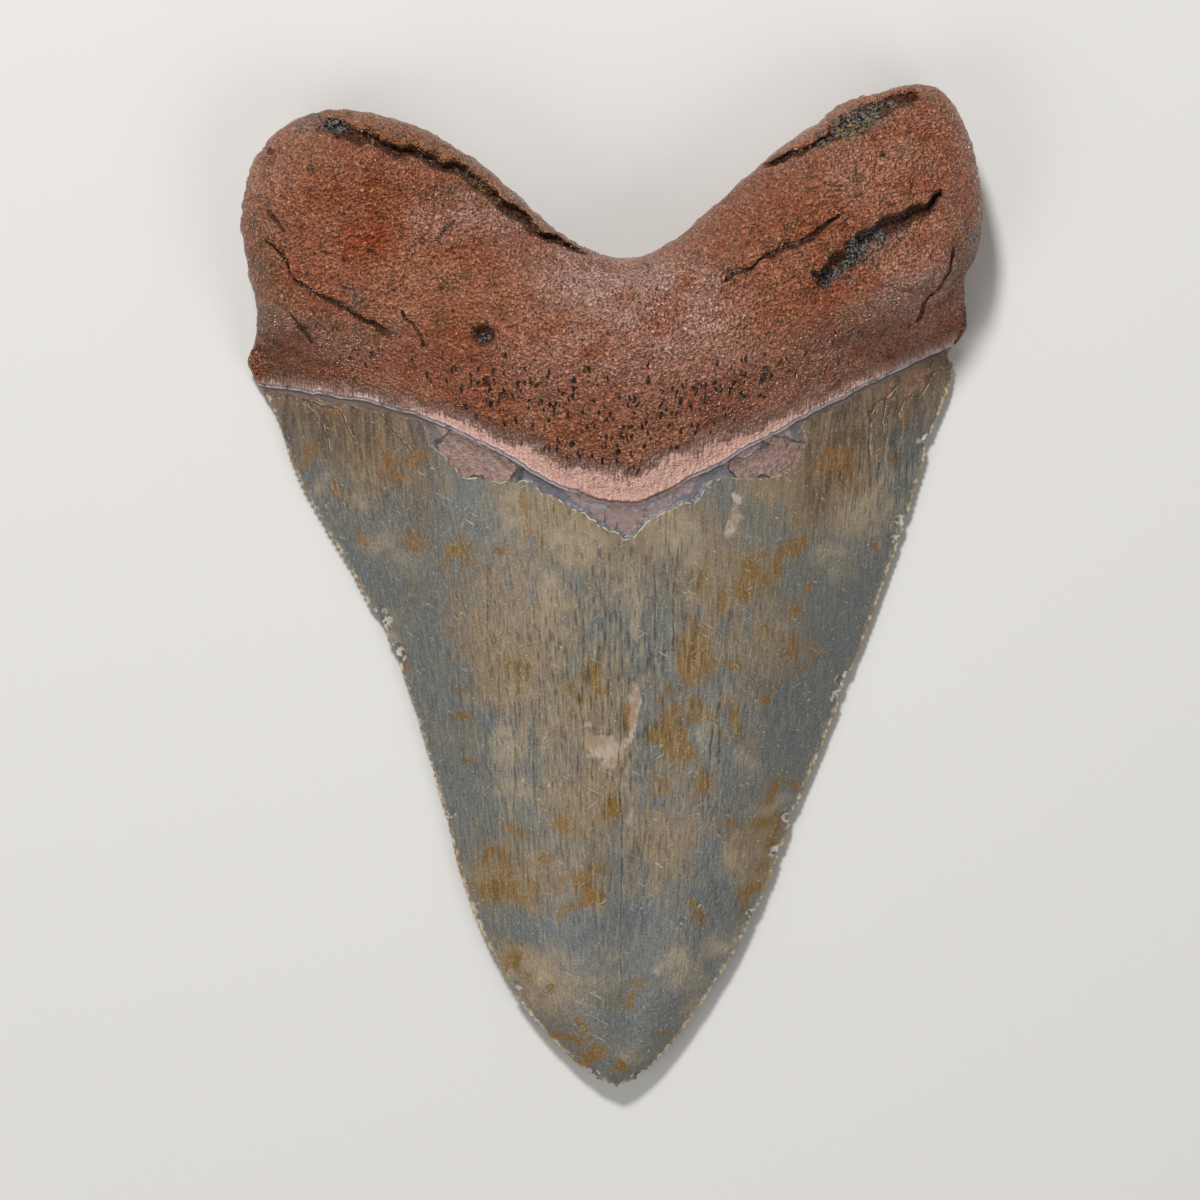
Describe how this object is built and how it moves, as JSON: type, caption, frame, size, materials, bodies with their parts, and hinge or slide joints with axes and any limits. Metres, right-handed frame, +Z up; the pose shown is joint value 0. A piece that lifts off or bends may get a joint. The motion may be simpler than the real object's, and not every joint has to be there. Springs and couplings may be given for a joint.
{
  "type": "megalodon tooth",
  "caption": "Large fossil shark tooth with a broad serrated crown, a dark bourlette and a thick two-lobed root, lying on its flat labial face.",
  "frame": {"origin": "middle of the bounding box, at the height of the surface that the tooth lies on", "axes": "+X to the right of the lingual face, +Y from the tip of the crown to the root, +Z up out of the lingual face"},
  "size_m": [0.1078, 0.146, 0.0275],
  "materials": {
    "tooth": "satin"
  },
  "bodies": {
    "root": {"tooth": "tooth"}
  },
  "joints": []
}
